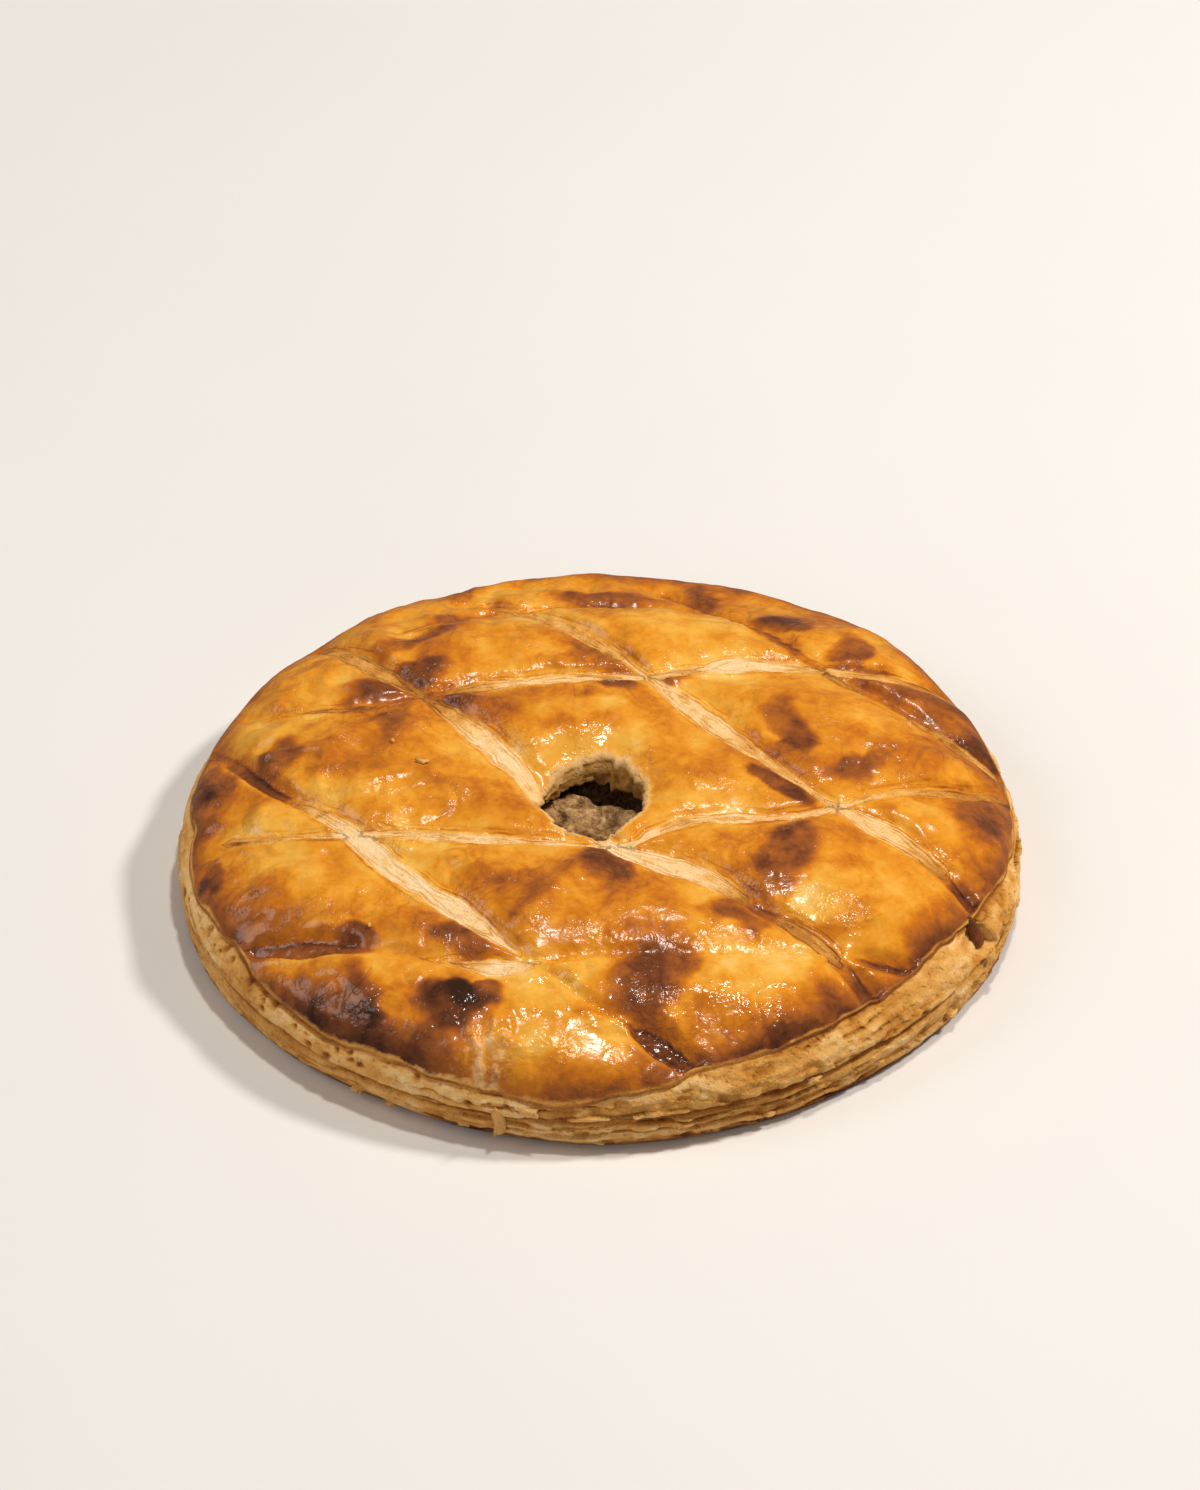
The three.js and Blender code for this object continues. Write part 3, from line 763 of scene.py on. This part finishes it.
def torn_height(x, y, share):
    """Underside of the lid, torn into teeth at the vent, and hanging down behind it."""
    teeth = lumps(columns(x, y), (1.3, 3, 61), (0.8, 1.3, 63))
    hanging = 2.2 * ease(-4, 8, y - VENT_Y)
    return underside_height(np.hypot(x, y)) + (teeth - hanging) * share


# Base and filling

BASE_PROFILE = ((11.5, 0.2), (9.7, 0.1), (7.3, 0.0), (6.1, 0.9), (4.6, 0.4), (1.6, 1.2), (0.35, 2.4))
BASE_ROWS = 32
# How far the foot is tucked in: degrees anticlockwise from +X, and millimetres
FOOT_TUCK = [(0, 0), (205, 0), (222, 1.6), (240, 3.4), (255, 2), (272, 0)]


def foot_tuck(angle, level):
    return eased(FOOT_TUCK, angle) * ease(9, 1, level)


def make_base(material):
    body = Body(PASTRY_VALUES)
    body.add([(0, 0, FLOOR_THICKNESS)], raw=1.0, crust=0.4)
    hidden = ((FLOOR_RADIUS, FLOOR_THICKNESS), (CAVITY_RADIUS, SEAM_HEIGHT), (SEAM_RADIUS, SEAM_HEIGHT))
    for radius, height in hidden:
        body.add(ring_points(spaced(radius, 4.0), radius, height), crust=0.5, **DRY_CRUMB)
    angle = spaced(RIM_RADIUS, SIDE_STEP)
    heights, insets = np.array(BASE_PROFILE)[::-1].T
    for share in np.linspace(0, 1, BASE_ROWS):
        level = between((SEAM_HEIGHT, heights[0]), share)
        inset = np.interp(level, heights, insets) + foot_tuck(angle, level)
        inset += seam_inset(angle) * ease(SEAM_HEIGHT - 1.6, SEAM_HEIGHT, level)
        radius = RIM_RADIUS * outline_share(angle) - inset
        stretch = (seam_height(angle) / SEAM_HEIGHT - 1) * ease(2, SEAM_HEIGHT, level)
        x, y, z = ring_points(angle, radius, level * (1 + stretch)).T
        out, crevice_shade = leaf_relief(x, y, z, 71)
        calm = min(1, share * 8) * min(1, (1 - share) * 5)
        tone = leaf_tone(x, y, z, out, crevice_shade, 72)
        # Browned at the foot; just below the seam, darker as painted shade in the seam.
        tone += 0.36 * ease(4.5, 0.8, z) + 0.2 * ease(10.4, 11.5, level)
        body.add(ring_points(angle, radius + out * calm, z), crust=tone, **DRY_CRUMB)
    foot = RIM_RADIUS - FOOT_INSET - foot_tuck(angle, 0)
    body.add(ring_points(angle, foot, 0.0), crust=0.75, **DRY_CRUMB)
    for radius in (90, 50):
        body.add(ring_points(angles(radius), radius, 0.0), crust=0.6, **DRY_CRUMB)
    body.add([(0, 0, 0)], crust=0.6, **DRY_CRUMB)
    return body.build("base", material)


def meat_height(x, y):
    """Top of the meat, sunk and crumbly in the steam pocket, and a tone: paler where its lumps stand up
    as painted light, dark in the hollow at the back as painted shade.
    """
    plane = columns(x, y)
    across, along = x - VENT_X, y - VENT_Y
    pocket = np.exp(-(np.hypot(across, along) / POCKET_REACH) ** 4)
    mince = lumps(plane, (1.2, 7, 81), (0.6, 1.7, 83)) + 1.3 * np.abs(noise(plane, 3.6, 82))
    hollow = ease(12, 19, along + 0.5 * np.maximum(0, across - 4) + 3 * noise(plane, 5, 84))
    sunk = POCKET_DEPTH - 0.5 + 8 * hollow - mince
    # The second value paints light on standing lumps and shade in the hollow under the lid.
    return underside_height(np.hypot(x, y)) - GAP - pocket * np.maximum(0.3, sunk), mince - 3 * hollow


def make_filling(material):
    body = Body(("lump",))
    side = CAVITY_RADIUS - 2 * GAP
    height, lump = meat_height(np.array([VENT_X]), np.array([VENT_Y]))
    body.add([(VENT_X, VENT_Y, height[0])], lump=lump)
    fine = np.arange(0.6, SEEN_MEAT, 0.6)
    coarse = np.linspace(SEEN_MEAT + 2, side, 16)[:-1]
    for reach in (*fine, *coarse):
        share = max(0, (reach - 20) / (side - 20))
        angle = spaced(reach, 0.7 if reach < SEEN_MEAT else 5.0)
        x = (1 - share) * VENT_X + reach * np.cos(angle)
        y = (1 - share) * VENT_Y + reach * np.sin(angle)
        z, lump = meat_height(x, y)
        body.add(columns(x, y, z), lump=lump)
    for radius, height in ((side, SEAM_HEIGHT), (FLOOR_RADIUS - 2 * GAP, FLOOR_THICKNESS + GAP)):
        body.add(ring_points(angles(120), radius, height))
    body.add([(0, 0, FLOOR_THICKNESS + GAP)])
    return body.build("meat", material)


# Loose flakes and a drip

# Flakes that stick out of the edge: degrees round the pie, height, length, and degrees of tilt
RIM_FLAKES = (
    (236, 3, 6, 25), (241, 2, 4, 10), (252, 4.5, 5, 40), (257, 9.2, 11.5, 86), (261, 13, 7, 60),
    (270, 3, 5, 15), (281, 7, 6, 20), (293, 4, 5, 10), (300, 11, 6, 15), (311, 6, 5, 25),
    (325, 5, 6, 15), (214, 5, 4, 20), (202, 7, 4, 30), (335, 12, 6, 20), (20, 8, 6, 20), (65, 6, 5, 25),
    (110, 8, 6, 15), (150, 5, 5, 20),
)
# Flakes that lie on the lid: x, y, length
TOP_FLAKES = ((-52, 3, 4.5), (-61, 13, 2.5), (-66, -66, 2.2))
FLAKE_CORNERS = 13
FLAKE_THICKNESS = 0.35
FLAKE_ROOT = 0.6
HANGING_TILT = math.radians(70)  # a flake that is tilted more hangs down as a strip
DRIP_ANGLE = math.radians(335.5)
DRIP_HEIGHTS = (23.2, 13.6)
DRIP_RADII = (118.4, 122.6)
DRIP_HALF_WIDTH = 2.8
DRIP_HALF_THICKNESS = 1.4
DRIP_WIDENING = (0.65, 1.05)  # from the top of the drip to its end
DRIP_THICKENING = (0.7, 1.3)
# Tones of the drip from top to end: darker at the top as painted shade under the glaze's edge
DRIP_TONES = (0.84, 0.76)
CLEFT_DEPTH = 4.2


def add_flake(points, faces, centre, length, axes, chance, slim=0.6):
    """A thin, curled shard with ragged sides, which lies along two axes and faces along the third."""
    along, across, facing = axes
    turn = angles(FLAKE_CORNERS)
    reach = length / 2 * chance.uniform(0.55, 1.15, FLAKE_CORNERS)
    u, v = reach * np.cos(turn), slim * reach * np.sin(turn)
    curl = chance.uniform(0.03, 0.08) * u * u
    sheet = np.array(centre) + u[:, None] * along + v[:, None] * across + curl[:, None] * facing
    first = len(points)
    points.extend(sheet)
    points.extend(sheet + FLAKE_THICKNESS * facing)
    lower = range(first, first + FLAKE_CORNERS)
    upper = range(first + FLAKE_CORNERS, len(points))
    faces.append(lower[::-1])
    faces.append(upper)
    for i in range(FLAKE_CORNERS):
        faces.append([lower[i - 1], lower[i], upper[i], upper[i - 1]])


def make_flakes(material):
    chance = np.random.default_rng(11)
    points, faces = [], []
    for degrees, height, length, tilt in RIM_FLAKES:
        angle, tilt = math.radians(degrees), math.radians(tilt)
        outward, around = directions(angle)
        across = outward * math.cos(tilt) - (0, 0, math.sin(tilt))
        facing = np.cross(across, around)
        rim = RIM_RADIUS * outline_share(angle) - foot_tuck(angle, height)
        centre = outward * (rim - FLAKE_ROOT) + (0, 0, height)
        if tilt > HANGING_TILT:
            add_flake(points, faces, centre, length, (across, around, facing), chance, slim=0.42)
        else:
            add_flake(points, faces, centre, length, (-around, across, facing), chance)
    for x, y, length in TOP_FLAKES:
        height = lid_surface(np.array([x]), np.array([y]))["height"][0]
        turn = chance.uniform(0, np.pi)
        along, across = directions(turn)
        across += np.array([-x, -y, 0]) / 400
        axes = (along, across, np.cross(along, across))
        add_flake(points, faces, (x, y, height + 0.3), length, axes, chance)
    values = dict.fromkeys(PASTRY_VALUES, 0.0) | DRY_CRUMB | {"crust": 0.3}
    return make_piece("flakes", points, faces, material, values)


def make_drip(material):
    """A drop of browned juice that ran out under the glaze and stuck to the edge."""
    body = Body(PASTRY_VALUES)
    outward, across = directions(DRIP_ANGLE)
    turn = -angles(16)[:, None]
    for share in np.linspace(0, 1, 15):
        centre = outward * between(DRIP_RADII, share) + (0, 0, between(DRIP_HEIGHTS, share))
        blunt = math.sqrt(1 - abs(2 * share - 1) ** 5)
        half_width = DRIP_HALF_WIDTH * blunt * between(DRIP_WIDENING, share)
        half_thickness = DRIP_HALF_THICKNESS * blunt * between(DRIP_THICKENING, share)
        ring = half_width * np.cos(turn) * across + half_thickness * np.sin(turn) * outward
        points = centre + ring if 0 < share < 1 else [centre]
        body.add(points, brown=between(DRIP_TONES, share), layer=DRY_CRUMB["layer"], gloss=1.0)
    return body.build("drip", material)


# Materials


class Shader:
    """A material's node tree, with short ways to add and join nodes."""

    def __init__(self, name):
        self.material = bpy.data.materials.new(name)
        self.material.use_nodes = True
        self.tree = self.material.node_tree
        self.surface = self.tree.nodes["Principled BSDF"]

    def add(self, kind, inputs=None, **settings):
        node = self.tree.nodes.new("ShaderNode" + kind)
        for key, value in settings.items():
            setattr(node, key, value)
        for key, value in (inputs or {}).items():
            self.put(value, node.inputs[key])
        return node

    def put(self, value, socket):
        if isinstance(value, bpy.types.NodeSocket):
            self.tree.links.new(value, socket)
        else:
            socket.default_value = value

    def set(self, **values):
        for key, value in values.items():
            self.put(value, self.surface.inputs[key.replace("_", " ")])

    def value(self, name):
        return self.add("Attribute", attribute_name=name).outputs["Fac"]

    def noise(self, size, detail=3.0, roughness=0.5, swirl=0.0):
        """Noise from 0 to 1 with lumps about size millimetres across."""
        inputs = {"Vector": self.add("TexCoord").outputs["Object"], "Scale": 1 / (size * MM)}
        inputs |= {"Detail": detail, "Roughness": roughness, "Distortion": swirl}
        return self.add("TexNoise", inputs).outputs["Fac"]

    def math(self, operation, first, second=0.5):
        return self.add("Math", {0: first, 1: second}, operation=operation).outputs[0]

    def times(self, first, second):
        return self.math("MULTIPLY", first, second)

    def rest(self, share):
        return self.math("SUBTRACT", 1.0, share)

    def around(self, value, strength):
        """A 0 to 1 value turned into one round zero, with the given strength."""
        return self.times(self.math("SUBTRACT", value, 0.5), strength)

    def uneven(self, strength, *grain, **settings):
        """Noise round zero, with the given strength."""
        return self.around(self.noise(*grain, **settings), strength)

    def ridges(self, power, size, swirl=0.0):
        """Lines of 1 that fall to 0 on both sides, the thinner the higher the power."""
        slope = self.math("ABSOLUTE", self.uneven(2.0, size, swirl=swirl))
        return self.math("POWER", self.rest(slope), power)

    def sum(self, total, *others):
        """A sum of values, where a pair stands for a value and its weight."""
        for other in others:
            part = self.times(*other) if isinstance(other, tuple) else other
            total = self.math("ADD", total, part)
        return total

    def ramp(self, value, *stops):
        node = self.add("ValToRGB", {"Fac": value})
        elements = node.color_ramp.elements
        while len(elements) < len(stops):
            elements.new(1.0)
        for element, (position, colour) in zip(elements, stops):
            element.position = position
            element.color = (*colour, 1)
        return node.outputs["Color"]

    def band(self, value, low, high):
        """0 below low, 1 above high and smooth between."""
        inputs = {"Value": value, "From Min": low, "From Max": high}
        return self.add("MapRange", inputs, interpolation_type="SMOOTHSTEP").outputs["Result"]

    def mix(self, share, first, second):
        """A mix of two colours."""
        return self.add("Mix", {"Factor": share, 6: first, 7: second}, data_type="RGBA").outputs[2]

    def blend(self, share, first, second):
        """A mix of two numbers."""
        return self.add("Mix", {"Factor": share, "A": first, "B": second}).outputs[0]

    def bump(self, height, millimetres):
        return self.add("Bump", {"Height": height, "Distance": millimetres * MM}).outputs["Normal"]


# Colours from pale to dark
GLAZE_TONES = (
    (0, (.88, .56, .17)), (.16, (.85, .44, .06)), (.34, (.76, .29, .016)),
    (.5, (.56, .165, .008)), (.64, (.35, .097, .015)), (.8, (.17, .046, .012)),
    (1, (.038, .012, .005)),
)
CRUMB_TONES = (
    (0, (.92, .7, .42)), (.16, (.88, .58, .26)), (.32, (.76, .39, .095)),
    (.48, (.56, .23, .03)), (.64, (.36, .12, .012)), (.84, (.15, .045, .006)),
    (1, (.05, .016, .004)),
)
SOAKED = (0.23, 0.118, 0.026, 1)
# Colours from dark to pale
MEAT_TONES = (
    (.1, (.07, .03, .012)), (.4, (.24, .115, .038)), (.6, (.44, .24, .088)),
    (.85, (.64, .41, .18)),
)
FLOOR_TONES = ((0.3, (0.80, 0.785, 0.77)), (0.7, (0.83, 0.815, 0.80)))
GLAZE_ROUGHNESS = 0.23
CRUMB_ROUGHNESS = 0.72
SOAKED_ROUGHNESS = 0.4


def leaf_lines(shader, layer):
    """Edges of pastry leaves, which run along the walls and floors of the scores."""
    bent = shader.sum(layer, shader.uneven(0.7, 9, 2))
    along = shader.times(shader.value("run"), 0.05)
    streaks = shader.add("CombineXYZ", {0: along, 1: bent}).outputs[0]
    fibres = shader.add("TexNoise", {"Vector": streaks, "Scale": 1.6, "Detail": 2}).outputs["Fac"]
    on_wall = shader.times(shader.band(layer, -5, -0.6), shader.rest(shader.band(layer, 1.2, 3.2)))
    return shader.times(shader.band(fibres, 0.46, 0.66), on_wall)


def glaze_colour(shader, leaves, wrinkle, crease):
    brown = shader.value("brown")
    freckles = shader.band(shader.noise(0.9, 1), 0.66, 0.74)
    toasted = shader.blend(shader.band(brown, 0.3, 0.55), 0.24, 0.04)
    tone = shader.sum(
        brown, shader.uneven(0.26, 6, 5, swirl=1.2), shader.uneven(0.13, 1.6, 4),
        shader.uneven(0.16, 15, 4, swirl=1), (wrinkle, 0.04), (freckles, 0.06), (crease, 0.09),
        (leaves, toasted))
    return shader.ramp(tone, *GLAZE_TONES)


def crumb_colour(shader, leaves, grain, threads, pits, in_score):
    specks = shader.times(shader.band(shader.noise(1.2, 1), 0.66, 0.74), in_score)
    # The crumb is darker in its pits: painted shade.
    tone = shader.sum(
        shader.value("crust"), shader.around(grain, 0.24), shader.around(threads, 0.18),
        (leaves, 0.21), (pits, 0.05), (specks, 0.15))
    return shader.mix(shader.times(shader.value("wet"), 0.85), shader.ramp(tone, *CRUMB_TONES), SOAKED)


def pastry_material(name):
    """Glazed skin, and dry layered crumb where raw is near 1 or layer is below 0."""
    shader = Shader(name)
    layer = shader.value("layer")
    fray = shader.sum(shader.uneven(0.6, 1.5), shader.uneven(0.5, 5))
    by_value = shader.band(shader.sum(shader.value("raw"), fray), 0.3, 0.8)
    in_score = shader.rest(shader.band(shader.sum(layer, (fray, 0.8)), -0.3, 0.7))
    bare = shader.math("MAXIMUM", by_value, in_score)
    leaves = leaf_lines(shader, layer)

    wrinkle = shader.ridges(6, 3.6)
    creased = shader.band(shader.noise(28, 1), 0.42, 0.58)
    crease = shader.times(shader.ridges(8, 17, swirl=1.6), creased)
    glaze = glaze_colour(shader, leaves, wrinkle, crease)
    patchy = shader.sum(0.2, (shader.band(shader.noise(13, 2), 0.4, 0.62), 0.8))
    skin = shader.times(shader.sum(shader.noise(4.2), (wrinkle, 0.2)), patchy)
    skin = shader.sum(skin, (shader.noise(0.9, 2), 0.09), (crease, -0.18))
    shine = shader.sum(GLAZE_ROUGHNESS, (shader.value("gloss"), -0.08), shader.uneven(0.08, 3))

    grain = shader.noise(3, 4)
    threads = shader.noise(0.9)
    pits = shader.times(shader.band(shader.noise(1.7, 2), 0.6, 0.72), by_value)
    crumb = crumb_colour(shader, leaves, grain, threads, pits, in_score)
    dry = shader.sum(shader.times(grain, 0.8), (threads, 0.6), (leaves, -0.3), (pits, -0.5))
    dull = shader.blend(shader.value("wet"), CRUMB_ROUGHNESS, SOAKED_ROUGHNESS)

    shader.set(Base_Color=shader.mix(bare, glaze, crumb), IOR=1.5)
    shader.set(Roughness=shader.blend(bare, shine, dull))
    shader.set(Normal=shader.bump(shader.blend(bare, skin, dry), 0.6))
    return shader.material


def meat_material(name):
    shader = Shader(name)
    # The tone carries painted light on standing lumps and painted shade in the hollow.
    tone = shader.sum(0.5, shader.uneven(1.9, 3, 6, roughness=0.7), (shader.value("lump"), 0.12))
    shader.set(Base_Color=shader.ramp(tone, *MEAT_TONES))
    shader.set(Roughness=shader.sum(0.33, shader.uneven(0.3, 1.5)), IOR=1.45)
    shader.set(Normal=shader.bump(shader.noise(1.1, 4), 1.2))
    return shader.material


def floor_material():
    shader = Shader("pale_floor")
    shader.set(Base_Color=shader.ramp(shader.noise(400), *FLOOR_TONES))
    shader.set(Roughness=shader.sum(0.55, shader.uneven(0.1, 30)))
    return shader.material


# Stage

PHOTO_HEIGHT = 1490
VIEW_ELEVATION = math.radians(38.68)
VIEW_DISTANCE = 2.0  # metres
VIEW_SCALE = 3.343  # pixels for a millimetre at the point that the camera looks at
AIM_RIGHT = 0.6 * MM
AIM_UP = 37.35 * MM
SENSOR = 36.0
WARM_WHITE = (1.0, 0.95, 0.88)
WORLD_STRENGTH = 0.14
FLOOR_HALF = 6000.0
FLOOR_SINK = 0.3
# Lights: name, direction, distance and size in metres, power, and whether they show as reflections
LIGHTS = (
    ("key", (0.66, 0.20, 0.72), 2.2, 0.30, 33, False),
    ("top", (0.15, 0.10, 1.0), 2.2, 0.20, 18, True),
    ("fill", (-0.45, -0.8, 0.6), 2.4, 1.4, 7, False),
    ("side", (-0.75, 0.0, 0.62), 2.2, 1.2, 9, True),
)


def aim(item, target, direction, distance):
    """Puts a camera or light at a distance from a target and turns it to that."""
    item.location = target + direction * distance
    item.rotation_mode = "QUATERNION"
    item.rotation_quaternion = (-direction).to_track_quat("-Z", "Y")


def make_camera():
    back = Vector((0, -math.cos(VIEW_ELEVATION), math.sin(VIEW_ELEVATION)))
    up = Vector((0, math.sin(VIEW_ELEVATION), math.cos(VIEW_ELEVATION)))
    data = bpy.data.cameras.new("camera")
    data.sensor_width = SENSOR
    data.lens = SENSOR * VIEW_DISTANCE / (PHOTO_HEIGHT / VIEW_SCALE * MM)
    camera = add_object("camera", data)
    aim(camera, Vector((AIM_RIGHT, 0, 0)) + up * AIM_UP, back, VIEW_DISTANCE)
    bpy.context.scene.camera = camera


def make_light(name, direction, distance, size, power, reflected):
    data = bpy.data.lights.new(name, "AREA")
    data.shape = "DISK"
    data.size = size
    data.energy = power
    data.color = WARM_WHITE
    light = add_object(name, data)
    aim(light, Vector(), Vector(direction).normalized(), distance)
    light.visible_glossy = reflected


def make_stage():
    corners = ((-1, -1), (1, -1), (1, 1), (-1, 1))
    points = [(x * FLOOR_HALF, y * FLOOR_HALF, -FLOOR_SINK) for x, y in corners]
    floor = make_piece("floor", points, [(0, 1, 2, 3)], floor_material(), {})
    floor.visible_glossy = False
    world = bpy.data.worlds.new("studio")
    world.use_nodes = True
    sky = world.node_tree.nodes["Background"].inputs
    sky["Color"].default_value = (*WARM_WHITE, 1)
    sky["Strength"].default_value = WORLD_STRENGTH
    bpy.context.scene.world = world
    for light in LIGHTS:
        make_light(*light)
    bpy.context.scene.view_settings.view_transform = "Standard"


def dress(piece, slot, *nodes):
    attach(piece, BODY)
    if nodes:
        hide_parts(*nodes)


def main():
    glazed_pastry, pale_pastry = pastry_material("glazed_pastry"), pastry_material("pale_pastry")
    dress(make_lid(glazed_pastry), "glazed_pastry", "lid_crust")
    dress(make_drip(glazed_pastry), "glazed_pastry")
    dress(make_base(pale_pastry), "pale_pastry", "base_crust")
    dress(make_flakes(pale_pastry), "pale_pastry")
    dress(make_filling(meat_material("meat")), "meat", "filling")
    make_stage()
    make_camera()


main()
